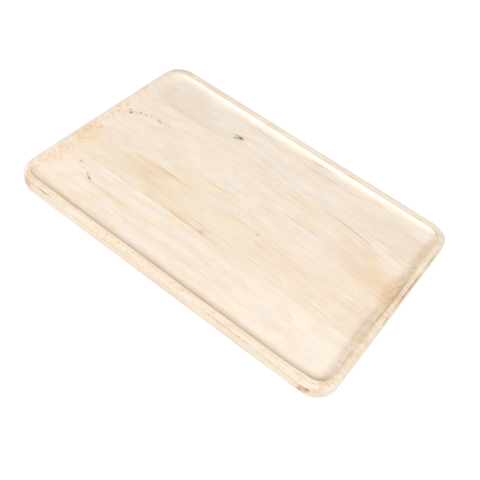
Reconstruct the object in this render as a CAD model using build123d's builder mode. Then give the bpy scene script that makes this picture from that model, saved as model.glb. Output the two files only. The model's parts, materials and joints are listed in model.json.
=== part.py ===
from build123d import *

import os

# A low wooden serving tray.
#
# Four boards, their grain along X, are glued edge to edge into one panel. The panel is then carved:
# its outline is cut to a rounded rectangle, its outer edges are rounded over, and a shallow recess
# is taken out of the top, which leaves a raised rim all round. The recess has a short upright wall
# under the rim, and a shallow cove from there down to its flat floor.
#
# Millimetres. +X is the long side, +Y the back, +Z up. The origin is the middle of the underside.

# Outside of the tray
LENGTH = 450.0
WIDTH = 305.0
THICKNESS = 22.0
CORNER_RADIUS = 29.0
TOP_ROUND = 4.0
BOTTOM_ROUND = 6.0

# Rim and recess
RIM_WIDTH = 10.0
RECESS_DEPTH = 7.0
WALL_HEIGHT = 2.0
COVE_WIDTH = 13.0
MOUTH_ROUND = 0.8

# The middle of each glue line, from the front joint to the back one
JOINTS_Y = (-69.0, -17.5, 76.5)
GLUE_THICKNESS = 0.2

BOARD_NAMES = ("front_board", "front_middle_board", "back_middle_board", "back_board")
GLUE_NAMES = ("front_glue_line", "middle_glue_line", "back_glue_line")

# Worked out from the sizes above
FLOOR_Z = THICKNESS - RECESS_DEPTH
COVE_HEIGHT = RECESS_DEPTH - WALL_HEIGHT


def tray_outline(inset):
    """Draws the tray's rounded rectangle, moved inward by inset."""
    RectangleRounded(LENGTH - 2 * inset, WIDTH - 2 * inset, CORNER_RADIUS - inset)


# The carved shape that the whole panel is cut to
with BuildPart() as carving:
    with BuildSketch():
        tray_outline(0)
    extrude(amount=THICKNESS)
    fillet(carving.faces().sort_by(Axis.Z)[-1].edges(), TOP_ROUND)
    fillet(carving.faces().sort_by(Axis.Z)[0].edges(), BOTTOM_ROUND)

    # The recess over its flat floor
    with BuildSketch(Plane.XY.offset(FLOOR_Z)):
        tray_outline(RIM_WIDTH + COVE_WIDTH)
    extrude(amount=RECESS_DEPTH, mode=Mode.SUBTRACT)

    # The recess over the cove, as one profile swept round the mouth. The profile's X points into
    # the recess, and its Y points up.
    with BuildSketch(Plane.XY.offset(FLOOR_Z), mode=Mode.PRIVATE) as mouth:
        tray_outline(RIM_WIDTH)
    mouth_line = mouth.sketch.wire()
    profile_plane = Plane(origin=mouth_line @ 0, x_dir=(1, 0, 0), z_dir=mouth_line % 0)
    with BuildSketch(profile_plane):
        with BuildLine():
            cove = TangentArc((COVE_WIDTH, 0), (0, COVE_HEIGHT), tangent=(-1, 0))
            Polyline(cove @ 1, (0, RECESS_DEPTH), (COVE_WIDTH, RECESS_DEPTH), cove @ 0)
        make_face()
    sweep(path=mouth_line, mode=Mode.SUBTRACT)

    # The rim's inner edge, eased by hand
    rim_top = carving.faces().filter_by(Plane.XY).sort_by(Axis.Z)[-1]
    fillet(rim_top.inner_wires()[0].edges(), MOUTH_ROUND)


def cut_strip(name, front_y, back_y):
    """Cuts one lengthwise strip of the panel to the carved shape and writes it."""
    with BuildPart() as strip:
        with Locations((0, (front_y + back_y) / 2, THICKNESS / 2)):
            Box(LENGTH, back_y - front_y, THICKNESS)
        add(carving.part, mode=Mode.INTERSECT)
    strip.part.label = name
    export_step(strip.part, f"parts/{name}.step")


os.makedirs("parts", exist_ok=True)

# Each board runs from the glue line in front of it to the one behind it
board_fronts = [-WIDTH / 2] + [y + GLUE_THICKNESS / 2 for y in JOINTS_Y]
board_backs = [y - GLUE_THICKNESS / 2 for y in JOINTS_Y] + [WIDTH / 2]
for name, front_y, back_y in zip(BOARD_NAMES, board_fronts, board_backs):
    cut_strip(name, front_y, back_y)

for name, joint_y in zip(GLUE_NAMES, JOINTS_Y):
    cut_strip(name, joint_y - GLUE_THICKNESS / 2, joint_y + GLUE_THICKNESS / 2)
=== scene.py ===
import json
import math

import bmesh
import bpy
from mathutils import Matrix, Vector, noise


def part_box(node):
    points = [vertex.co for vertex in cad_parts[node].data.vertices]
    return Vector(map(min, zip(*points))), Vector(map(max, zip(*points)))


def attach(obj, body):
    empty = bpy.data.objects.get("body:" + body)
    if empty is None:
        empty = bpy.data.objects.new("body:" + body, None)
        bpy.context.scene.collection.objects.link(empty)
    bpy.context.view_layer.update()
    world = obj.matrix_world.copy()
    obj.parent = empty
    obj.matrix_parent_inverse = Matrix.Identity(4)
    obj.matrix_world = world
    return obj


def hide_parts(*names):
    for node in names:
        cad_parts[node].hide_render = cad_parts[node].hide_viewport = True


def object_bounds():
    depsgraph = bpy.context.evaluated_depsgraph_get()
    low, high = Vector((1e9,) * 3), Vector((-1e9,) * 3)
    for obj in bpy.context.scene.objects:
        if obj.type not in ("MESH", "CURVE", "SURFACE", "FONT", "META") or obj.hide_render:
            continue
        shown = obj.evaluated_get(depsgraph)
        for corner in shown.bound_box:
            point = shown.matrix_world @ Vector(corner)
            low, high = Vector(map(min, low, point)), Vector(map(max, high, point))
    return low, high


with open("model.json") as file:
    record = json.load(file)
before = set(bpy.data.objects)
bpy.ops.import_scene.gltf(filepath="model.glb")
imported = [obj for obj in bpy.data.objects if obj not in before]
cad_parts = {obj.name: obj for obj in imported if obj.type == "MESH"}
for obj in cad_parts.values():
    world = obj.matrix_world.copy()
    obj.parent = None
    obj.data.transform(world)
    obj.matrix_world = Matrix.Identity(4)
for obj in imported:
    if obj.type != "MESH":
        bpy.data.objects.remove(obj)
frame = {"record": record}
cad_low, cad_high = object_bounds()

# Every size and place below is in millimetres, in the CAD frame: +X along the tray, +Y to its back,
# +Z up, origin in the middle of the underside. MM turns them into Blender's metres.
MM = 0.001

# ---------------------------------------------------------------- sizes

LENGTH, WIDTH, THICKNESS = (cad_high - cad_low) / MM
FLOOR_Z = next(m["pos_m"][2] for m in frame["record"]["mounts"] if m["name"] == "recess_floor") / MM
CORNER_RADIUS = 29.0
TOP_ROUND = 4.0
BOTTOM_ROUND = 6.0
RIM_WIDTH = 10.0
WALL_HEIGHT = 2.0
COVE_WIDTH = 13.0
MOUTH_ROUND = 0.8

BOARDS = ("front_board", "front_middle_board", "back_middle_board", "back_board")
GLUE_LINES = ("front_glue_line", "middle_glue_line", "back_glue_line")

# Mesh density, and how close two points have to be to count as one
GRID_STEP = 2.0
CORNER_STEPS = 24
SAME_POINT = 0.01

# The carved top lies above CARVED_FROM, and the rim's own wear begins at RIM_FROM.
CARVED_FROM = FLOOR_Z - 0.5
RIM_FROM = THICKNESS - 3.0

# What hand work and use have left in the surface: about how far it has moved
MOUTH_WANDER = 0.35
RIM_WANDER = 0.12
FLOOR_WANDER = 0.10
SIDE_WANDER = 0.15
FRONT_MOUTH_OUT = 1.2
RIGHT_MOUTH_OUT = 1.5
BACK_MOUTH_IN = 0.5
CORNER_MOUTH_IN = 3.0
LEFT_EDGE_DROP = 0.6
JOINT_GROOVE = 0.06
JOINT_GROOVE_WIDTH = 0.5

# At the ends the wall is worn towards a soft slope from the rim to the floor, by these shares.
SOFT_FROM = 4.5
LEFT_SOFTENING = 0.88
RIGHT_SOFTENING = 0.78

# The wall of the right end is crisp about its middle, and softens from there towards the corners.
# Where it is soft its mouth lies in rather than out, by SOFT_MOUTH_IN of RIGHT_MOUTH_OUT.
CRISP_MIDDLE = 6.0
CRISP_HALF_LENGTH = 18.0
SOFT_HALF_LENGTH = 58.0
SOFT_MOUTH_IN = 0.2

# Where the wear comes on, from the first number to the second: places along X or Y, then distances
# inside the tray's outline. The mouth's wear fades again over PAST_MOUTH.
BEFORE_CORNER_Y = (-98.0, -118.0)
CORNER_X = (165.0, 215.0)
CORNER_Y = (-95.0, -145.0)
INTO_MOUTH = (6.0, RIM_WIDTH - 0.5)
PAST_MOUTH = (14.0, 26.0)
LEFT_EDGE = (6.0, 1.0)
ONTO_FLOOR = (RIM_WIDTH + 4.0, RIM_WIDTH + COVE_WIDTH + 6.0)


def smooth(low, high, value):
    """Rises from 0 at low to 1 at high, smoothly."""
    t = min(max((value - low) / (high - low), 0.0), 1.0)
    return t * t * (3.0 - 2.0 * t)


def bumps(x, y, x_size, y_size, layer):
    """Noise over the tray, from -1 to 1, with features about as large as the sizes."""
    return noise.noise(Vector((x / x_size, y / y_size, layer)))


def half_bumps(*place):
    """The same noise, from 0 to 1."""
    return 0.5 + 0.5 * bumps(*place)


# ---------------------------------------------------------------- the carved body


def arc(centre, radius, start, end, steps):
    """Points along an arc, from start to end in degrees."""
    angles = [math.radians(start + (end - start) * i / steps) for i in range(steps + 1)]
    return [(centre[0] + radius * math.cos(a), centre[1] + radius * math.sin(a)) for a in angles]


def carved_profile():
    """The tray's edge in section, as (inset from the outline, height), from the underside to the floor."""
    cove_height = THICKNESS - FLOOR_Z - WALL_HEIGHT
    cove_radius = (COVE_WIDTH**2 + cove_height**2) / (2 * cove_height)
    cove_foot = RIM_WIDTH + COVE_WIDTH
    cove_top = math.degrees(math.atan2(cove_height - cove_radius, -COVE_WIDTH))
    points = [(inset, 0.0) for inset in (CORNER_RADIUS, 24.0, 19.0, 14.0, 10.0)]
    points += arc((BOTTOM_ROUND, BOTTOM_ROUND), BOTTOM_ROUND, -90, -180, 10)
    points += [(0.0, 8.0), (0.0, 10.0), (0.0, 12.0), (0.0, 14.0), (0.0, 16.0)]
    points += arc((TOP_ROUND, THICKNESS - TOP_ROUND), TOP_ROUND, 180, 90, 10)
    points += [(5.5, THICKNESS), (7.0, THICKNESS), (8.3, THICKNESS)]
    points += arc((RIM_WIDTH - MOUTH_ROUND, THICKNESS - MOUTH_ROUND), MOUTH_ROUND, 90, 0, 5)
    points += arc((cove_foot, FLOOR_Z + cove_radius), cove_radius, cove_top, -90, 14)
    points += [(24.5, FLOOR_Z), (26.5, FLOOR_Z), (CORNER_RADIUS, FLOOR_Z)]
    return points


def outline_stations(half_x, half_y, across, along):
    """Where the profile stands round the tray: (point on the inner rectangle, outward direction)."""
    corners = [(half_x, -half_y), (half_x, half_y), (-half_x, half_y), (-half_x, -half_y)]
    stations = []
    for index, (x, y) in enumerate(corners):
        for step in range(CORNER_STEPS + 1):
            angle = math.radians(90.0 * (index - 1 + step / CORNER_STEPS))
            stations.append((Vector((x, y, 0)), Vector((math.cos(angle), math.sin(angle), 0))))
        next_x, next_y = corners[(index + 1) % 4]
        steps = across if index % 2 == 0 else along
        outward = stations[-1][1]
        for step in range(1, steps):
            t = step / steps
            stations.append((Vector((x + (next_x - x) * t, y + (next_y - y) * t, 0)), outward))
    return stations


def inset_of(x, y):
    """How far inside the tray's outline a point lies."""
    over_x = abs(x) - (LENGTH / 2 - CORNER_RADIUS)
    over_y = abs(y) - (WIDTH / 2 - CORNER_RADIUS)
    if over_x > 0 and over_y > 0:
        return CORNER_RADIUS - math.hypot(over_x, over_y)
    return min(LENGTH / 2 - abs(x), WIDTH / 2 - abs(y))


def worn(point, outward):
    """Moves one point of the carved body as hand sanding and use have: nothing is quite straight."""
    x, y, z = point
    inset = inset_of(x, y)
    if z > CARVED_FROM:
        wander = bumps(x, y, 41, 41, 3.1) + 0.4 * bumps(x, y, 11, 11, 7.7)
        crisp = smooth(SOFT_HALF_LENGTH, CRISP_HALF_LENGTH, abs(y - CRISP_MIDDLE))
        at_corner = smooth(*BEFORE_CORNER_Y, y)
        drift = FRONT_MOUTH_OUT * max(-outward.y, 0) - BACK_MOUTH_IN * max(outward.y, 0)
        out_share = (1 + SOFT_MOUTH_IN) * max(crisp, at_corner) - SOFT_MOUTH_IN
        drift += RIGHT_MOUTH_OUT * max(outward.x, 0) * out_share
        drift -= CORNER_MOUTH_IN * smooth(*CORNER_X, x) * smooth(*CORNER_Y, y)
        mouth = smooth(*INTO_MOUTH, inset) * (1 - smooth(*PAST_MOUTH, inset))
        point = point + outward * ((MOUTH_WANDER * wander + drift) * mouth)
        rim = smooth(RIM_FROM, THICKNESS, z)
        left = max(-outward.x, 0) ** 2
        point.z -= LEFT_EDGE_DROP * left * rim * smooth(*LEFT_EDGE, inset)
        if inset > SOFT_FROM:
            eased = THICKNESS - (THICKNESS - FLOOR_Z) * smooth(SOFT_FROM, RIM_WIDTH + COVE_WIDTH, inset)
            right = max(outward.x, 0) ** 2 * (1 - crisp)
            point.z += (eased - z) * (LEFT_SOFTENING * left + RIGHT_SOFTENING * right)
        point.z -= RIM_WANDER * half_bumps(x, y, 60, 60, 1.7) * rim
        dips = bumps(x, y, 75, 26, 5.3) + 0.5 * bumps(x, y, 30, 12, 9.2)
        point.z += FLOOR_WANDER * dips * smooth(*ONTO_FLOOR, inset)
    side = 1 - smooth(0.0, TOP_ROUND, inset)
    return point - outward * (SIDE_WANDER * half_bumps(x, y, 50, 50, z / 30) * side)


def carved_body():
    """The whole tray as one closed mesh of quads, before it is parted into boards."""
    half_x = LENGTH / 2 - CORNER_RADIUS
    half_y = WIDTH / 2 - CORNER_RADIUS
    along = round(2 * half_x / GRID_STEP)
    across = round(2 * half_y / GRID_STEP)
    stations = outline_stations(half_x, half_y, across, along)
    body = bmesh.new()

    rings = []
    for inset, z in carved_profile():
        ring = []
        for anchor, outward in stations:
            place = anchor + outward * (CORNER_RADIUS - inset) + Vector((0, 0, z))
            ring.append(body.verts.new(worn(place, outward)))
        rings.append(ring)
    for ring, following in zip(rings, rings[1:]):
        for i in range(len(ring)):
            j = (i + 1) % len(ring)
            body.faces.new((ring[i], ring[j], following[j], following[i]))

    nowhere = Vector((0, 0, 0))
    for z in (0.0, FLOOR_Z):
        rows = []
        for row in range(across + 1):
            y = -half_y + 2 * half_y * row / across
            places = [Vector((-half_x + 2 * half_x * i / along, y, z)) for i in range(along + 1)]
            rows.append([body.verts.new(worn(place, nowhere)) for place in places])
        for near, far in zip(rows, rows[1:]):
            for i in range(along):
                body.faces.new((near[i], near[i + 1], far[i + 1], far[i]))

    bmesh.ops.remove_doubles(body, verts=body.verts, dist=SAME_POINT)
    bmesh.ops.dissolve_degenerate(body, edges=body.edges, dist=0.001)
    bmesh.ops.recalc_face_normals(body, faces=body.faces)
    return body


def y_span(node):
    """The front and back of a CAD node."""
    low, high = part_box(node)
    return low.y / MM, high.y / MM


def cut_across(body, y, keep=0):
    """Cuts the mesh along a plane at y. keep is 1 for what lies behind it, -1 for in front, 0 for both."""
    everything = body.verts[:] + body.edges[:] + body.faces[:]
    bmesh.ops.bisect_plane(
        body,
        geom=everything,
        dist=0.0005,
        plane_co=(0, y, 0),
        plane_no=(0, 1 if keep < 0 else -1, 0),
        clear_outer=keep != 0,
    )


def groove_joints(body):
    """Lets the surface dip along each glue line, where sanding has pulled the soft edges down.

    The flat underside stays flush.
    """
    for glue in GLUE_LINES:
        front, back = y_span(glue)
        for y in (front - JOINT_GROOVE_WIDTH, front, back, back + JOINT_GROOVE_WIDTH):
            cut_across(body, y)
    body.normal_update()
    for glue in GLUE_LINES:
        front, back = y_span(glue)
        for vertex in body.verts:
            x, y, z = vertex.co
            if front - SAME_POINT < y < back + SAME_POINT and z > SAME_POINT:
                depth = JOINT_GROOVE * (0.55 + 0.9 * bumps(x, y, 17, 1, 2.2))
                inward = -Vector((vertex.normal.x, 0, vertex.normal.z)).normalized()
                vertex.co += inward * max(depth, 0.0)


def strip_of(body, node):
    """The part of the body that lies where a CAD node does, closed at its cuts."""
    strip = body.copy()
    front, back = y_span(node)
    if front > -WIDTH / 2 + 1:
        cut_across(strip, front, keep=1)
    if back < WIDTH / 2 - 1:
        cut_across(strip, back, keep=-1)
    bmesh.ops.holes_fill(strip, edges=[e for e in strip.edges if e.is_boundary], sides=0)
    bmesh.ops.recalc_face_normals(strip, faces=strip.faces)
    return strip


# ---------------------------------------------------------------- flaws in the boards

# Small flaws that are both pressed into the mesh and coloured: (x, y, half length, half width,
# turn in degrees, depth, colour). They are open only at the tray's upper side.
BROWN = (0.36, 0.24, 0.13)
PALE_BROWN = (0.52, 0.385, 0.25)
FAINT = (0.64, 0.53, 0.41)
KNOT_HEART = (0.50, 0.42, 0.32)
KNOT_DARK = (0.19, 0.15, 0.09)
KNOT_BROWN = (0.29, 0.225, 0.15)

FLAWS = {
    "front_board": (
        (-184.5, -81.2, 1.3, 1.0, 0, 0.6, BROWN),
        (-182.0, -84.0, 1.6, 0.7, -40, 0.2, FAINT),
        (-174.5, -87.6, 1.5, 0.6, -25, 0.3, PALE_BROWN),
        (-163.5, -91.6, 3.0, 0.5, -28, 0.4, PALE_BROWN),
        (-158.2, -94.6, 2.9, 1.15, -22, 0.8, BROWN),
        (-154.6, -96.6, 1.6, 0.5, -20, 0.4, PALE_BROWN),
        (-147.0, -97.6, 1.5, 0.5, -15, 0.3, FAINT),
        (-177.5, -81.7, 5.6, 0.25, -42, 0.1, FAINT),
        (-187.2, -94.5, 8.0, 0.22, -40, 0.05, FAINT),
    ),
    "front_middle_board": (
        (44.0, -20.6, 1.5, 1.1, 0, 0.5, PALE_BROWN),
        (-132.5, -66.8, 0.8, 0.6, 0, 0.3, PALE_BROWN),
    ),
    "back_middle_board": (
        (-209.2, 30.0, 0.9, 0.7, 0, 0.3, PALE_BROWN),
        (-213.4, 33.6, 1.3, 3.2, 0, 0.3, FAINT),
        (-213.2, 16.4, 0.8, 1.5, 0, 0.3, PALE_BROWN),
        (-214.6, 9.0, 0.8, 2.6, 0, 0.2, FAINT),
        (-213.6, -3.0, 1.0, 3.4, 0, 0.2, FAINT),
        (-208.0, 24.0, 1.2, 2.0, 20, 0.2, FAINT),
        (-203.4, 29.8, 1.8, 2.3, 10, 0.8, BROWN),
        (-206.8, 33.0, 2.2, 0.8, 20, 0.2, PALE_BROWN),
        (-199.0, 34.6, 3.6, 0.5, 40, 0.1, PALE_BROWN),
        (-194.0, 38.6, 1.4, 0.9, 10, 0.5, BROWN),
        (-190.0, 38.4, 2.6, 0.5, -10, 0.1, FAINT),
        (-186.0, 40.2, 1.5, 1.0, 10, 0.4, PALE_BROWN),
        (-179.4, 42.5, 1.2, 0.8, 0, 0.4, PALE_BROWN),
        (-171.6, 43.3, 1.2, 0.7, 0, 0.3, PALE_BROWN),
        (-167.2, 44.4, 2.8, 0.8, -8, 0.4, PALE_BROWN),
        (-163.8, 43.8, 1.8, 0.8, -10, 0.5, BROWN),
        (-158.0, 43.6, 4.4, 0.5, -5, 0.1, FAINT),
        (-154.0, 40.6, 1.8, 0.5, 0, 0.2, FAINT),
        (-149.0, 44.6, 1.7, 0.6, 0, 0.3, PALE_BROWN),
        (-220.6, 28.2, 1.0, 0.8, 0, 0.3, PALE_BROWN),
    ),
    "back_board": (
        (-72.6, 96.4, 4.0, 2.9, 10, 0.2, KNOT_HEART),
        (-77.6, 99.2, 2.3, 1.1, 20, 0.3, BROWN),
        (-70.4, 99.2, 4.4, 2.2, -17, 0.8, KNOT_DARK),
        (-76.3, 93.9, 2.5, 1.3, 9, 0.6, KNOT_BROWN),
        (-81.5, 97.0, 0.9, 1.6, 10, 0.1, FAINT),
        (-77.0, 110.5, 3.0, 0.8, 23, 0.1, FAINT),
        (-87.0, 105.2, 1.4, 0.9, 0, 0.1, FAINT),
        (-73.2, 86.0, 1.0, 0.8, 0, 0.1, FAINT),
        (-219.5, 79.0, 1.4, 1.0, 0, 0.3, BROWN),
        (-169.0, 84.2, 1.8, 1.0, 0, 0.1, FAINT),
    ),
}
# A flaw is pressed to its full depth out to FLAW_FLAT, and fades out at FLAW_REACH, where 1 is its edge.
FLAW_FLAT = 0.3
FLAW_REACH = 1.35
FLAW_RAGGEDNESS = 0.35
# A flaw is pressed only this far from its middle, along X and along Y.
FLAW_AREA = 12
# The mesh is divided round a flaw where its edges are longer than this, and its faces look upwards.
FLAW_MESH = 0.45
LOOKS_UP = 0.05
# Flaws at least this deep have a brown halo.
HALO_FROM_DEPTH = 0.4


def flaw_distance(flaw, x, y):
    """How far a point is from a flaw's middle: 1 at its edge."""
    centre_x, centre_y, half_length, half_width, turn = flaw[:5]
    c, s = math.cos(math.radians(turn)), math.sin(math.radians(turn))
    dx, dy = x - centre_x, y - centre_y
    return math.hypot((c * dx + s * dy) / half_length, (c * dy - s * dx) / half_width)


def press_flaws(strip, flaws):
    """Divides the mesh finely round each flaw, and presses the flaw into the upper side."""
    for flaw in flaws:
        flaw_x, flaw_y, half_length, half_width = flaw[:4]
        reach = max(half_length, half_width) + GRID_STEP
        near = set()
        for face in strip.faces:
            x, y, z = face.calc_center_median()
            if z > CARVED_FROM and abs(x - flaw_x) < reach and abs(y - flaw_y) < reach:
                if face.normal.z > LOOKS_UP:
                    near.update(edge for edge in face.edges if edge.calc_length() > FLAW_MESH)
        if near:
            bmesh.ops.subdivide_edges(strip, edges=list(near), cuts=3, use_grid_fill=True)
    strip.normal_update()
    moves = []
    for vertex in strip.verts:
        x, y, z = vertex.co
        if z < CARVED_FROM or vertex.normal.z < LOOKS_UP:
            continue
        ragged = 1 + FLAW_RAGGEDNESS * bumps(x, y, 0.9, 0.9, 4.4)
        depth = 0.0
        for flaw in flaws:
            flaw_x, flaw_y, flaw_depth = flaw[0], flaw[1], flaw[5]
            if abs(x - flaw_x) < FLAW_AREA and abs(y - flaw_y) < FLAW_AREA:
                distance = flaw_distance(flaw, x, y) * ragged
                depth = max(depth, flaw_depth * (1 - smooth(FLAW_FLAT, FLAW_REACH, distance)))
        if depth > 0:
            moves.append((vertex, depth))
    for vertex, depth in moves:
        vertex.co -= vertex.normal * depth


def as_object(name, mesh_data, sharp_degrees=50):
    """Turns a bmesh in millimetres into an object in metres, smooth except over its sharp edges."""
    bmesh.ops.scale(mesh_data, vec=(MM, MM, MM), verts=mesh_data.verts)
    mesh = bpy.data.meshes.new(name)
    mesh_data.to_mesh(mesh)
    mesh_data.free()
    mesh.shade_smooth()
    mesh.set_sharp_from_angle(angle=math.radians(sharp_degrees))
    thing = bpy.data.objects.new(name, mesh)
    bpy.context.scene.collection.objects.link(thing)
    return thing


# ---------------------------------------------------------------- material nodes


class Nodes:
    """Adds shader nodes to a material. Any value may be a number, a colour, a vector or a socket."""

    def __init__(self, material):
        material.use_nodes = True
        self.tree = material.node_tree
        self.tree.nodes.clear()

    def make(self, kind, values=(), **settings):
        node = self.tree.nodes.new("ShaderNode" + kind)
        for name, value in settings.items():
            setattr(node, name, value)
        for key, value in dict(values).items():
            if isinstance(value, bpy.types.NodeSocket):
                self.tree.links.new(value, node.inputs[key])
            else:
                node.inputs[key].default_value = value
        return node

    def math(self, operation, *values):
        return self.make("Math", enumerate(values), operation=operation).outputs[0]

    def vector(self, operation, *values):
        node = self.make("VectorMath", enumerate(values), operation=operation)
        return node.outputs["Value" if operation == "LENGTH" else "Vector"]

    def add(self, *values):
        total = values[0]
        for value in values[1:]:
            total = self.math("ADD", total, value)
        return total

    def times(self, *values):
        total = values[0]
        for value in values[1:]:
            total = self.math("MULTIPLY", total, value)
        return total

    def noise(self, place, sizes, detail=2.0, roughness=0.5, output=0):
        """Noise whose features are about as large as sizes, in mm along each axis."""
        scaled = self.vector("DIVIDE", place, sizes)
        values = {"Vector": scaled, "Scale": 1.0, "Detail": detail, "Roughness": roughness}
        return self.make("TexNoise", values).outputs[output]

    def line_noise(self, value, size, detail=2.0):
        """Noise along one number."""
        values = {"W": self.math("DIVIDE", value, size), "Scale": 1.0, "Detail": detail}
        return self.make("TexNoise", values, noise_dimensions="1D").outputs[0]

    def remap(self, value, low, high, to_low=0.0, to_high=1.0):
        values = {"Value": value, "From Min": low, "From Max": high, "To Min": to_low, "To Max": to_high}
        return self.make("MapRange", values, interpolation_type="SMOOTHSTEP").outputs["Result"]

    def mix(self, factor, one, other, blend="MIX"):
        node = self.make("Mix", data_type="RGBA", blend_type=blend)
        for socket, value in ((node.inputs[0], factor), (node.inputs[6], one), (node.inputs[7], other)):
            if isinstance(value, bpy.types.NodeSocket):
                self.tree.links.new(value, socket)
            else:
                socket.default_value = value if isinstance(value, (int, float)) else (*value, 1.0)
        return node.outputs[2]

    def tint(self, colour, factor, by):
        return self.mix(factor, colour, by, "MULTIPLY")

    def blot(self, place, centre, sizes, turn=0.0, edge=0.4):
        """1 inside an ellipsoid, 0 outside it, with a soft edge."""
        values = {"Vector": place, "Location": centre, "Rotation": (0, 0, math.radians(turn)), "Scale": sizes}
        local = self.make("Mapping", values, vector_type="TEXTURE").outputs[0]
        return self.remap(self.vector("LENGTH", local), 1.0, edge)


# ---------------------------------------------------------------- wood

# Spots of the right end that run over several boards: (middle, half sizes, speckle, tint)
# Painted light that makes the right end's steep wall paler.
PAINTED_LIGHT_WALL = ((212.6, -44, 18.5), (5.4, 82, 5), 0.0, (1.035, 1.065, 1.12))
# Painted shade that darkens and greys the right end's cove further in from the mouth.
PAINTED_SHADE_COVE = ((206, -45, 16), (4.8, 50, 4), 0.0, (0.935, 0.94, 0.95))
PALE_RIM = ((221, -44, 22), (6.5, 34, 4), 0.0, (1.035, 1.075, 1.13))
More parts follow.
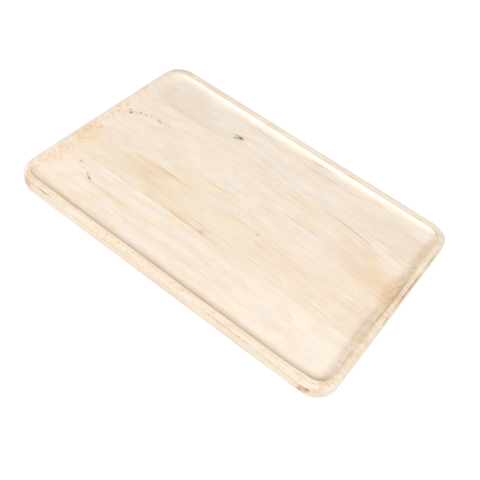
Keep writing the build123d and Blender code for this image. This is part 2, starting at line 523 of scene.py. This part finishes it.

# Each board's own wood, with some painted shade and painted light marked where they stand. A tint multiplies
# the board's colour: above 1 it makes the wood paler.
# The pith is the middle of the tree, (y, z). The grain bows by bow times x squared. The figure is
# quietest round plain, (x, y). Stains run with the grain: (x, y, half length, half width, turn in
# degrees, streakiness, tint). Spots sit anywhere on the board, and speckle, from 0 to 1, says how much
# the end grain breaks them up. End flecks are the strength of the flecks at the left and right ends.
WOOD = {
    "front_board": dict(
        colour=(0.870, 0.787, 0.690),
        other_colour=(0.850, 0.757, 0.648),
        pith=(-205.0, -40.0),
        ring_width=6.2,
        ring_strength=0.75,
        bow=0.00006,
        plain=(150, -100),
        seed=(31.0, 7.0, 3.0),
        stains=(
            (-122, -100, 44, 8, -2, 0.4, (0.975, 0.925, 0.85)),
            (-130, -104, 55, 12, -3, 0.5, (0.985, 0.955, 0.915)),
            (-209, -90, 13, 40, 0, 0.7, (0.965, 0.90, 0.82)),
            # Painted shade: this stain and the next darken the front cove just behind the mouth.
            (-170, -138, 70, 6, 0, 0.5, (0.97, 0.93, 0.87)),
            (30, -141, 150, 3, 0, 0.5, (0.96, 0.92, 0.86)),
        ),
        spots=(
            PAINTED_LIGHT_WALL,
            PAINTED_SHADE_COVE,
            PALE_RIM,
            # Painted shade that darkens the right end's cove further in from the mouth.
            ((202.5, -90, 16.5), (9, 38, 8), 0.5, (0.975, 0.965, 0.95)),
            ((220, -97, 22), (7, 34, 3), 0.3, (0.985, 0.94, 0.875)),
            # Painted shade in the front right corner of the recess, below the mouth.
            ((201, -131, 18.8), (20, 14, 2.8), 0.0, (0.89, 0.845, 0.78)),
            ((206, -148, 22), (18, 8.5, 2.2), 0.0, (1.04, 1.10, 1.19)),
            ((194, -153, 8.5), (3.8, 3, 3.4), 0.1, (0.68, 0.52, 0.40)),
            ((202.5, -151.5, 15), (4.2, 5, 3.8), 0.1, (0.74, 0.58, 0.45)),
            ((198, -152, 12.5), (10, 5, 6.5), 0.2, (0.74, 0.59, 0.46)),
            ((-182, -152, 19.6), (30, 2.4, 1.0), 0.6, (0.56, 0.41, 0.27)),
            ((-207, -148, 19.4), (9, 5, 1.1), 0.2, (0.60, 0.44, 0.30)),
            ((-203, -150, 15.5), (12, 7, 8), 0.5, (0.74, 0.60, 0.45)),
            ((96, -152, 19.6), (56, 2.2, 1.1), 0.85, (0.62, 0.46, 0.32)),
            ((-222, -137, 9), (9, 14, 9), 0.5, (0.88, 0.77, 0.64)),
        ),
        rim=(0.99, 0.975, 0.95),
        end_flecks=(1.0, 0.8),
    ),
    "front_middle_board": dict(
        colour=(0.841, 0.744, 0.622),
        other_colour=(0.826, 0.718, 0.582),
        pith=(-150.0, -55.0),
        ring_width=6.0,
        ring_strength=0.7,
        bow=0.00010,
        plain=(-230, -45),
        seed=(-12.0, 41.0, 17.0),
        stains=(
            (-96, -22.5, 66, 5.5, 0, 0.3, (0.965, 0.885, 0.79)),
            (45, -21, 80, 2.6, 0, 0.5, (0.985, 0.955, 0.91)),
            (-110, -42, 66, 21, -2, 0.6, (0.975, 0.915, 0.84)),
            (-50, -62.5, 96, 8, 0, 0.5, (0.975, 0.905, 0.83)),
            (-7, -65, 6, 3.8, -20, 0.2, (0.92, 0.79, 0.64)),
            (-2, -61, 9, 3.6, 0, 0.2, (0.965, 0.945, 0.84)),
            (-212, -42, 16, 27, 0, 0.5, (0.965, 0.885, 0.79)),
            (100, -29, 62, 15, 0, 0.6, (0.985, 0.945, 0.89)),
            (195, -45, 30, 24, 0, 0.3, (0.965, 0.95, 0.935)),
            (-100, -20, 48, 1.5, 0, 0.3, (0.92, 0.84, 0.75)),
            (-118, -35, 34, 1.4, -3, 0.4, (0.94, 0.885, 0.81)),
            (-32, -66.5, 76, 2.0, 0, 0.5, (0.90, 0.82, 0.71)),
        ),
        spots=(
            PAINTED_LIGHT_WALL,
            PAINTED_SHADE_COVE,
            PALE_RIM,
            # Painted shade that darkens the right end's cove further in from the mouth.
            ((202.5, -30, 17), (8, 46, 8), 0.5, (0.965, 0.95, 0.94)),
            ((223.6, -22, 21.2), (1.7, 16, 1.5), 0.6, (0.64, 0.50, 0.37)),
        ),
        rim=(0.975, 0.95, 0.92),
        end_flecks=(1.0, 0.7),
    ),
    "back_middle_board": dict(
        colour=(0.847, 0.760, 0.660),
        other_colour=(0.837, 0.740, 0.618),
        pith=(150.0, -70.0),
        ring_width=6.6,
        ring_strength=0.8,
        bow=0.00048,
        plain=(-122, 34),
        seed=(55.0, -23.0, 29.0),
        stains=(
            (162, 31, 74, 36, -8, 0.5, (0.967, 0.89, 0.805)),
            (190, 22, 34, 20, -5, 0.3, (0.985, 0.93, 0.87)),
            (127, 68.6, 43, 1.5, 0, 0.1, (0.79, 0.66, 0.50)),
            (120, 66, 82, 8, 0, 0.5, (0.985, 0.945, 0.89)),
            (30, -10, 70, 9, 0, 0.5, (0.995, 0.985, 0.955)),
            (78, 30.0, 52, 1.3, 0, 0.1, (0.84, 0.77, 0.67)),
            (-62, 4, 80, 9, 0, 0.4, (0.99, 0.955, 0.875)),
            (-36, 6, 24, 1.8, -3, 0.2, (0.95, 0.92, 0.80)),
            (-200, 33, 16, 7, 12, 0.3, (0.965, 0.91, 0.82)),
        ),
        spots=(
            PAINTED_LIGHT_WALL,
            PAINTED_SHADE_COVE,
            ((208.5, 20, 17), (14.5, 48, 10), 0.45, (0.935, 0.85, 0.73)),
            ((218.5, 18, 22), (6, 16, 4), 0.1, (0.94, 0.87, 0.83)),
            ((216.5, 66, 21.5), (6.5, 24, 5), 0.0, (1.08, 1.11, 1.15)),
            ((203, 26, 15.5), (10, 26, 6), 0.5, (0.96, 0.93, 0.88)),
            ((224, 25, 20.5), (4, 46, 4), 0.5, (0.90, 0.81, 0.70)),
            ((223.6, 34, 21.2), (1.7, 46, 1.5), 0.4, (0.50, 0.37, 0.25)),
        ),
        rim=(0.97, 0.94, 0.90),
        end_flecks=(0.5, 0.8),
    ),
    "back_board": dict(
        colour=(0.843, 0.766, 0.678),
        other_colour=(0.826, 0.741, 0.642),
        pith=(215.0, -35.0),
        ring_width=7.4,
        ring_strength=0.5,
        bow=-0.00005,
        plain=(-150, 100),
        seed=(-47.0, 11.0, -8.0),
        stains=(
            (-165, 100, 100, 40, 0, 0.2, (0.950, 0.937, 0.920)),
            (170, 100, 70, 36, 0, 0.3, (0.975, 0.95, 0.925)),
            (-145, 82, 75, 5, 0, 0.5, (0.945, 0.93, 0.90)),
            (150, 79, 60, 4, 0, 0.5, (0.955, 0.935, 0.905)),
            (38, 135.5, 26, 1.4, 0, 0.2, (0.78, 0.70, 0.60)),
            (0, 122, 210, 6, 0, 0.6, (0.975, 0.96, 0.94)),
            (-64, 101, 18, 8, 0, 0.2, (0.99, 0.965, 0.91)),
            # Painted shade that dims the back hollow's painted highlight at its left end.
            (-180, 136, 60, 9, 0, 0.2, (0.965, 0.955, 0.94)),
        ),
        spots=(
            ((206, 92, 17), (9, 32, 8), 0.7, (0.96, 0.93, 0.89)),
            ((216.5, 94, 21.5), (6.5, 40, 5), 0.0, (1.10, 1.13, 1.17)),
            ((223.6, 88, 21.2), (1.7, 24, 1.5), 0.5, (0.60, 0.48, 0.36)),
        ),
        rim=(0.975, 0.95, 0.93),
        end_flecks=(0.15, 0.6),
    ),
}

# The board with the knot, and how far round the knot its grain parts
KNOT_BOARD = "back_board"
KNOT_MIDDLE = (-72, 97, 0)
KNOT_REACH = (24, 10, 60)

# Flaws colour the wood above FLAWS_FROM, and come on over FLAWS_FADE.
FLAWS_FROM = 12.0
FLAWS_FADE = 1.5


class Wood(Nodes):
    """One board's solid wood: first where each point of it lies, then its colour, part over part."""

    def __init__(self, board):
        self.board = board
        self.wood = WOOD[board]
        self.material = bpy.data.materials.new(board + "_solid_wood")
        super().__init__(self.material)
        coordinates = self.make("TexCoord")
        self.place = self.vector("MULTIPLY", coordinates.outputs["Object"], (1 / MM, 1 / MM, 1 / MM))
        self.x, self.y, self.z = self.make("SeparateXYZ", {0: self.place}).outputs
        self.facing = self.make("SeparateXYZ", {0: coordinates.outputs["Normal"]}).outputs
        self.own = self.vector("ADD", self.place, self.wood["seed"])

    def stain(self, mask, by):
        self.colour = self.tint(self.colour, mask, by)

    def cover(self, mask, colour):
        self.colour = self.mix(mask, self.colour, colour)

    def partly(self, value, share):
        """1 where value is 1, and less by share where it is 0."""
        return self.add(self.times(value, share), 1 - share)

    def between(self, value, start, full, last, end):
        """1 from full to last, fading to 0 at start and end."""
        return self.times(self.remap(value, start, full), self.remap(value, end, last))

    def centred_noise(self, sizes):
        """Noise as a vector that points every way alike."""
        return self.vector("SUBTRACT", self.noise(self.own, sizes, detail=1, output=1), (0.5, 0.5, 0.5))

    def along_rings(self, stretch, layer):
        """Coordinates that run along the board and out from its pith."""
        values = {"X": self.x, "Y": self.times(self.radius, stretch), "Z": layer}
        return self.make("CombineXYZ", values).outputs[0]

    def find_inset(self):
        """How far inside the tray's outline each point lies, and which points are within the rim."""
        straight = (LENGTH / 2 - CORNER_RADIUS, WIDTH / 2 - CORNER_RADIUS, 0)
        past_corner = self.vector("SUBTRACT", self.vector("ABSOLUTE", self.place), straight)
        past_x, past_y, _ = self.make("SeparateXYZ", {0: past_corner}).outputs
        beyond = self.vector("MAXIMUM", past_corner, (0, 0, 0))
        round_part = self.vector("LENGTH", self.vector("MULTIPLY", beyond, (1, 1, 0)))
        flat_part = self.math("MINIMUM", self.math("MAXIMUM", past_x, past_y), 0.0)
        self.inset = self.math("SUBTRACT", CORNER_RADIUS, self.add(round_part, flat_part))
        self.inside = self.remap(self.inset, 6.0, 8.0)

    def find_grain(self):
        """The grain runs along X, but bows over the board's length, sways, and parts round the knot."""
        lift = self.make("CombineXYZ", {"Y": self.times(self.x, self.x, self.wood["bow"])}).outputs[0]
        sway = self.vector("MULTIPLY", self.centred_noise((190, 45, 45)), (0, 12, 12))
        ripple = self.vector("MULTIPLY", self.centred_noise((36, 9, 9)), (0, 1.6, 1.6))
        grain = self.vector("ADD", self.vector("ADD", self.vector("ADD", self.place, lift), sway), ripple)
        if self.board == KNOT_BOARD:
            beside = self.vector("SUBTRACT", self.place, KNOT_MIDDLE)
            distance = self.vector("LENGTH", self.vector("DIVIDE", beside, KNOT_REACH))
            parting = self.make("CombineXYZ", {"Y": self.times(self.remap(distance, 1.3, 0.0), 0.75)})
            grain = self.vector("SUBTRACT", grain, self.vector("MULTIPLY", beside, parting.outputs[0]))
        self.grain = grain

    def find_rings(self):
        """The growth rings round the pith: where in its ring a point is, and the dark line that ends it."""
        pith_y, pith_z = self.wood["pith"]
        from_pith = self.vector("SUBTRACT", self.grain, (0, pith_y, pith_z))
        self.radius = self.vector("LENGTH", self.vector("MULTIPLY", from_pith, (0, 1, 1)))
        unevenness = self.times(self.line_noise(self.radius, 14.0), 1.3)
        phase = self.add(self.math("DIVIDE", self.radius, self.wood["ring_width"]), unevenness)
        ring = self.math("FLOOR", phase)
        self.within = self.math("SUBTRACT", phase, ring)
        weight = self.make("TexWhiteNoise", {"W": ring}, noise_dimensions="1D").outputs[0]
        patches = self.noise(self.along_rings(8.0, self.wood["seed"][2]), (70, 60, 60), detail=2)
        self.patchy = self.remap(patches, 0.42, 0.64)
        line = self.between(self.within, 0.70, 0.93, 0.95, 1.0)
        self.late_line = self.times(line, self.partly(weight, 0.75), self.partly(self.patchy, 0.85))

    def lay_tone(self):
        """Tone over the board: broad clouds, bands that follow the rings, hairlines and fibres."""
        self.cloud = self.remap(self.noise(self.own, (120, 28, 28), detail=2), 0.35, 0.65)
        self.colour = self.mix(self.cloud, self.wood["colour"], self.wood["other_colour"])
        warm = self.remap(self.noise(self.own, (38, 11, 11), detail=2), 0.42, 0.62)
        self.stain(warm, (0.998, 0.961, 0.895))
        cool = self.remap(self.noise(self.own, (28, 10, 10), detail=2), 0.58, 0.40)
        self.stain(cool, (0.966, 0.962, 0.976))
        plain = self.blot(self.place, (*self.wood["plain"], FLOOR_Z), (112, 54, 40), edge=0.6)
        lively = self.remap(plain, 0.0, 1.0, 1.5, 0.4)
        band = self.remap(self.line_noise(self.radius, 9.0, detail=3), 0.35, 0.72)
        self.stain(self.times(band, lively, self.partly(self.patchy, 0.6)), (0.985, 0.97, 0.95))
        strength = self.wood["ring_strength"]
        self.stain(self.times(self.within, self.within, strength, 0.5), (0.985, 0.97, 0.95))
        self.stain(self.times(self.late_line, lively, strength), (0.92, 0.86, 0.785))
        streak_place = self.along_rings(60.0, self.wood["seed"][0])
        streak = self.remap(self.noise(streak_place, (34, 70, 60), detail=3, roughness=0.6), 0.5, 0.78)
        self.stain(self.times(streak, lively, 0.6), (0.94, 0.90, 0.84))
        self.fibre = self.noise(self.own, (26, 0.7, 0.7), detail=2, roughness=0.6)
        self.stain(self.remap(self.fibre, 0.40, 0.75), (0.945, 0.925, 0.90))
        cross_grain = self.noise(self.own, (2.2, 7, 7), detail=2)
        self.stain(self.remap(cross_grain, 0.45, 0.75), (0.985, 0.98, 0.97))

    def add_pores(self):
        """Pores: short dark dashes along the grain, round dots on the ends."""
        cells = self.vector("DIVIDE", self.own, (9.0, 1.25, 1.25))
        dash = self.make("TexVoronoi", {"Vector": cells, "Scale": 1.0})
        chosen = self.make("SeparateColor", {0: dash.outputs["Color"]}).outputs[0]
        dots = self.remap(dash.outputs["Distance"], 0.22, 0.10)
        self.pore = self.times(dots, self.remap(chosen, 0.45, 0.9))
        self.stain(self.times(self.pore, 0.55), (0.72, 0.60, 0.47))

    def add_stains(self):
        """Stains that follow the grain."""
        mottle = self.remap(self.noise(self.own, (34, 3.2, 3.2), detail=3, roughness=0.6), 0.34, 0.62)
        for x, y, half_length, half_width, turn, streaky, by in self.wood["stains"]:
            centre = (x, y + self.wood["bow"] * x**2, FLOOR_Z)
            mask = self.blot(self.grain, centre, (half_length, half_width, 30), turn, edge=0.35)
            self.stain(self.times(mask, self.partly(mottle, streaky)), by)

    def darken_rim(self):
        """The rim is darker where hands have held it, but not at the left end."""
        self.elsewhere = self.remap(self.x, -214.0, -200.0)
        self.rim = self.remap(self.z, RIM_FROM, THICKNESS - 0.4)
        patches = self.remap(self.noise(self.own, (45, 45, 20), detail=3), 0.3, 0.7)
        handled = self.times(self.add(self.times(patches, 0.5), 0.65), self.partly(self.elsewhere, 0.8))
        self.stain(self.times(self.rim, handled), self.wood["rim"])

    def mark_ends(self):
        """The ends are browner, blotched and flecked, since cut fibres take up more dirt."""
        self.speckle = self.remap(self.noise(self.own, (6.0, 1.8, 1.8), detail=3, roughness=0.6), 0.36, 0.66)
        faces_end = self.remap(self.math("ABSOLUTE", self.facing[0]), 0.08, 0.7)
        self.cut_fibres = self.times(faces_end, self.remap(self.x, 190.0, 206.0))
        self.stain(self.times(self.cut_fibres, self.partly(self.speckle, 0.6)), (0.965, 0.92, 0.87))
        left_flecks, right_flecks = self.wood["end_flecks"]
        blotch = self.remap(self.noise(self.own, (9, 10, 7), detail=3, roughness=0.6), 0.44, 0.62)
        on_right_rim = self.times(self.between(self.x, 202.0, 213.0, 215.5, 219.0), right_flecks)
        self.stain(self.times(blotch, on_right_rim), (0.925, 0.87, 0.80))
        fleck = self.remap(self.noise(self.own, (7.0, 3.2, 3.2), detail=4, roughness=0.75), 0.46, 0.64)
        at_right = self.times(self.remap(self.x, 202.0, 211.0), right_flecks)
        at_left = self.times(self.remap(self.x, -199.0, -211.0), left_flecks)
        above_floor = self.remap(self.z, FLOOR_Z, FLOOR_Z + 0.3)
        self.stain(self.times(fleck, self.add(at_right, at_left), above_floor), (0.87, 0.785, 0.665))

    def add_spots(self):
        """Spots, more or less broken up by the end grain's speckle."""
        for middle, half_sizes, speckled, by in self.wood["spots"]:
            mask = self.blot(self.place, middle, half_sizes, edge=0.4)
            self.stain(self.times(mask, self.partly(self.speckle, speckled)), by)

    def paint_edge_highlights_and_lines(self):
        """Painted highlights: the hollow at the back and the outer edges at the back and left are painted
        pale where light catches them, and the outer right side is painted lighter.

        A grey line runs along the rim at the back, and a darker one round its left corner.
        """
        # Painted highlight on the hollow at the back, which faces the lamps.
        hollow = self.times(self.remap(self.facing[1], -0.32, -0.54), self.remap(self.z, 19.6, 18.9))
        self.cover(self.times(hollow, self.inside, 0.5), (0.875, 0.85, 0.81))
        # Painted highlight on the outer rounded edges at the back and the left, where light grazes them.
        at_back = self.times(self.remap(self.y, 118.0, 130.0), self.remap(self.x, 219.0, 206.0))
        back_edge = self.times(at_back, self.remap(self.inset, 5.4, 3.2))
        faces_left = self.times(self.remap(self.facing[0], -0.08, -0.5), 0.85)
        left_edge = self.times(faces_left, self.remap(self.inset, 6.5, 4.5))
        painted_far_edge_highlight = self.times(self.math("MAXIMUM", back_edge, left_edge), self.remap(self.z, 15.5, 18.5))
        self.cover(painted_far_edge_highlight, (0.925, 0.91, 0.88))
        back_line = self.times(at_back, self.between(self.inset, 4.8, 5.8, 6.4, 7.4), self.rim)
        self.stain(back_line, (0.93, 0.965, 1.0))
        back_left = self.times(self.remap(self.x, -188.0, -202.0), self.remap(self.y, 124.0, 130.0))
        corner_line = self.times(back_left, self.between(self.inset, 4.0, 6.0, 7.5, 11.5), self.rim)
        self.stain(corner_line, (0.83, 0.82, 0.84))
        # Painted light that makes the outer right side paler.
        painted_right_side_light = self.times(self.remap(self.facing[0], 0.5, 0.9), self.remap(self.inset, 4.0, 2.0))
        self.cover(self.times(painted_right_side_light, 0.5), (0.895, 0.83, 0.72))

    def paint_wall_shade(self):
        """Painted shade darkens the steep wall, less so on either side of the right end's crisp part.

        At the back the painted shade is grey, and at the front it is brown. A warm painted shade also lies on
        the front wall and cove, which face the back.
        """
        # Painted shade on the steep wall round the recess.
        wall = self.times(self.between(self.z, 19.0, 20.2, 21.3, 21.9), self.inside, self.elsewhere)
        from_crisp = self.math("ABSOLUTE", self.math("SUBTRACT", self.y, CRISP_MIDDLE))
        less_painted_shade = self.times(self.remap(self.x, 205.0, 212.0), self.remap(from_crisp, 26.0, 46.0), 0.8)
        wall = self.times(wall, self.math("SUBTRACT", 1.0, less_painted_shade))
        self.stain(wall, self.mix(self.remap(self.y, 100.0, 130.0), (0.90, 0.80, 0.67), (0.79, 0.79, 0.775)))
        # Warm painted shade on the front wall and cove, which face away from the lamps.
        faces_back = self.remap(self.facing[1], 0.05, 0.55)
        painted_front_shade = self.times(faces_back, self.inside, self.remap(self.z, 22.0, 21.5))
        self.stain(painted_front_shade, (0.985, 0.905, 0.81))

    def mark_front(self):
        """Fine lines and flecks along the outer side at the front, and painted shade on the rounded edge
        above it.
        """
        side = self.times(self.remap(self.y, -141.0, -144.0), self.remap(self.inset, 8.5, 6.5))
        line = self.remap(self.noise(self.own, (60, 1.1, 1.1), detail=3, roughness=0.55), 0.48, 0.66)
        self.stain(self.times(side, line), (0.95, 0.895, 0.82))
        fleck = self.remap(self.noise(self.own, (5.5, 1.0, 1.0), detail=3, roughness=0.65), 0.54, 0.66)
        fewer_below = self.remap(self.z, 8.0, 19.0, 0.35, 1.0)
        self.stain(self.times(side, fewer_below, fleck), (0.77, 0.68, 0.55))
        # Painted shade that darkens the front's upper rounded edge where it faces the lamps.
        faces_front = self.remap(self.facing[1], -0.2, -0.5)
        edge = self.times(faces_front, self.remap(self.facing[2], 0.25, 0.55), self.remap(self.z, 17.0, 18.5))
        edge = self.times(edge, self.remap(self.inset, 6.0, 4.5))
        self.stain(edge, (0.90, 0.895, 0.885))

    def add_flaws(self):
        """Flaws, on the upper side only. A brown halo surrounds the deep ones."""
        upper = self.remap(self.z, FLAWS_FROM, FLAWS_FROM + FLAWS_FADE)
        raggedness = self.vector("MULTIPLY", self.centred_noise((1.5, 1.5, 4.0)), (1.3, 1.3, 0))
        place = self.vector("ADD", self.place, raggedness)
        for x, y, half_length, half_width, turn, depth, colour in FLAWS[self.board]:
            middle = (x, y, FLOOR_Z)
            if depth >= HALO_FROM_DEPTH:
                half_sizes = (half_length * 1.5 + 2.2, half_width * 1.5 + 2.2, 60)
                halo = self.blot(place, middle, half_sizes, turn, edge=0.0)
                self.stain(self.times(halo, upper), (0.93, 0.84, 0.70))
            half_sizes = (half_length * 1.6, half_width * 1.6, 60)
            mask = self.blot(place, middle, half_sizes, turn, edge=0.1)
            self.cover(self.times(mask, upper), colour)

    def shade(self):
        """Gloss and relief: fibres and late wood stand up, pores lie deep, and end grain is rough."""
        roughness = self.add(self.times(self.fibre, 0.16), self.times(self.cloud, 0.05))
        roughness = self.add(roughness, self.times(self.cut_fibres, 0.08), 0.40)
        relief = self.add(self.times(self.fibre, 0.030), self.times(self.late_line, 0.012))
        relief = self.add(relief, self.times(self.pore, -0.06))
        relief = self.add(relief, self.times(self.speckle, self.cut_fibres, 0.03))
        bump = self.make("Bump", {"Strength": 0.6, "Distance": MM, "Height": relief}).outputs[0]
        values = {"Base Color": self.colour, "Roughness": roughness, "Normal": bump}
        shader = self.make("BsdfPrincipled", values)
        shader.inputs["Specular IOR Level"].default_value = 0.5
        shader.inputs["Sheen Weight"].default_value = 0.12
        shader.inputs["Sheen Roughness"].default_value = 0.4
        self.make("OutputMaterial", {"Surface": shader.outputs[0]})


def wood_material(board):
    """A board's wood, from its rings and fibres up to its stains and flaws, with painted highlights and
    painted shade.
    """
    wood = Wood(board)
    wood.find_inset()
    wood.find_grain()
    wood.find_rings()
    wood.lay_tone()
    wood.add_pores()
    wood.add_stains()
    wood.darken_rim()
    wood.mark_ends()
    wood.add_spots()
    wood.paint_edge_highlights_and_lines()
    wood.paint_wall_shade()
    wood.mark_front()
    wood.add_flaws()
    wood.shade()
    return wood.material


def glue_material():
    """A hair-thin line of cured glue, dark in places and the colour of the wood in others."""
    material = bpy.data.materials.new("glue_line")
    n = Nodes(material)
    place = n.vector("MULTIPLY", n.make("TexCoord").outputs["Object"], (1 / MM, 1 / MM, 1 / MM))
    stretch = n.remap(n.noise(place, (46, 20, 20), detail=3), 0.38, 0.64)
    colour = n.mix(stretch, (0.76, 0.66, 0.53), (0.62, 0.51, 0.39))
    fleck = n.remap(n.noise(place, (3.5, 3, 3), detail=2), 0.42, 0.68)
    colour = n.tint(colour, fleck, (0.86, 0.82, 0.78))
    roughness = n.add(n.times(fleck, 0.2), 0.42)
    bump = n.make("Bump", {"Strength": 0.5, "Distance": MM, "Height": n.times(fleck, 0.03)}).outputs[0]
    shader = n.make("BsdfPrincipled", {"Base Color": colour, "Roughness": roughness, "Normal": bump})
    shader.inputs["Specular IOR Level"].default_value = 0.4
    n.make("OutputMaterial", {"Surface": shader.outputs[0]})
    return material


# ---------------------------------------------------------------- pieces

body = carved_body()
groove_joints(body)
glue = glue_material()
for node in BOARDS + GLUE_LINES:
    strip = strip_of(body, node)
    if node in FLAWS:
        press_flaws(strip, FLAWS[node])
    piece = as_object(node + ".surface", strip)
    piece.data.materials.append(glue if node in GLUE_LINES else wood_material(node))
    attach(piece, "root")
    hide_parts(node)
body.free()

# ---------------------------------------------------------------- camera, light and floor

WORLD_STRENGTH = 0.62
FLOOR_RADIUS_M = 4.0
FLOOR_TONE = 0.88
FLOOR_ROUGHNESS = 0.9
FLOOR_GLOW = 0.3


def direction(azimuth, elevation):
    """The way towards something. Azimuth 0 is in front of the tray, 90 to its right."""
    a, e = math.radians(azimuth), math.radians(elevation)
    return Vector((math.sin(a) * math.cos(e), -math.cos(a) * math.cos(e), math.sin(e)))


def camera_at(aim, azimuth, elevation, roll, distance, lens):
    """A camera that looks at a point, turned about its own axis by roll."""
    back = direction(azimuth, elevation)
    level = Vector((0, 0, 1)).cross(back).normalized()
    right = Matrix.Rotation(math.radians(roll), 3, back) @ level
    up = back.cross(right)
    data = bpy.data.cameras.new("camera")
    data.lens = lens
    data.sensor_width = 36.0
    data.dof.use_dof = False
    camera = bpy.data.objects.new("camera", data)
    place = Matrix((right, up, back)).transposed().to_4x4()
    place.translation = (Vector(aim) + back * distance) * MM
    camera.matrix_world = place
    bpy.context.scene.collection.objects.link(camera)
    bpy.context.scene.camera = camera


def area_light(name, azimuth, elevation, distance, size, power):
    """A round soft light that shines at the middle of the tray. Distance and size are in metres."""
    back = direction(azimuth, elevation)
    data = bpy.data.lights.new(name, "AREA")
    data.shape = "DISK"
    data.size = size
    data.energy = power
    light = bpy.data.objects.new(name, data)
    light.location = back * distance
    light.rotation_mode = "QUATERNION"
    light.rotation_quaternion = back.to_track_quat("Z", "Y")
    bpy.context.scene.collection.objects.link(light)


camera_at(aim=(28.2, -31.0, 0.0), azimuth=25.616, elevation=49.707, roll=14.602, distance=858.8, lens=53.54)
area_light("key", azimuth=32, elevation=42, distance=4.0, size=2.2, power=86.0)
area_light("fill", azimuth=-6, elevation=50, distance=4.0, size=2.4, power=44.0)

world = bpy.data.worlds.new("studio")
bpy.context.scene.world = world
world.use_nodes = True
background = world.node_tree.nodes["Background"]
background.inputs["Color"].default_value = (1, 1, 1, 1)
background.inputs["Strength"].default_value = WORLD_STRENGTH

floor_mesh = bpy.data.meshes.new("floor")
floor_data = bmesh.new()
bmesh.ops.create_circle(floor_data, cap_ends=True, segments=96, radius=FLOOR_RADIUS_M)
floor_data.to_mesh(floor_mesh)
floor_data.free()
floor = bpy.data.objects.new("floor", floor_mesh)
bpy.context.scene.collection.objects.link(floor)
pale = bpy.data.materials.new("pale_floor")
n = Nodes(pale)
tone = (FLOOR_TONE, FLOOR_TONE, FLOOR_TONE, 1.0)
shader = n.make("BsdfPrincipled", {"Base Color": tone, "Roughness": FLOOR_ROUGHNESS})
shader.inputs["Emission Color"].default_value = (1, 1, 1, 1)
shader.inputs["Emission Strength"].default_value = FLOOR_GLOW
n.make("OutputMaterial", {"Surface": shader.outputs[0]})
floor_mesh.materials.append(pale)
floor.visible_diffuse = False

bpy.context.scene.view_settings.view_transform = "Standard"
bpy.context.scene.view_settings.look = "None"
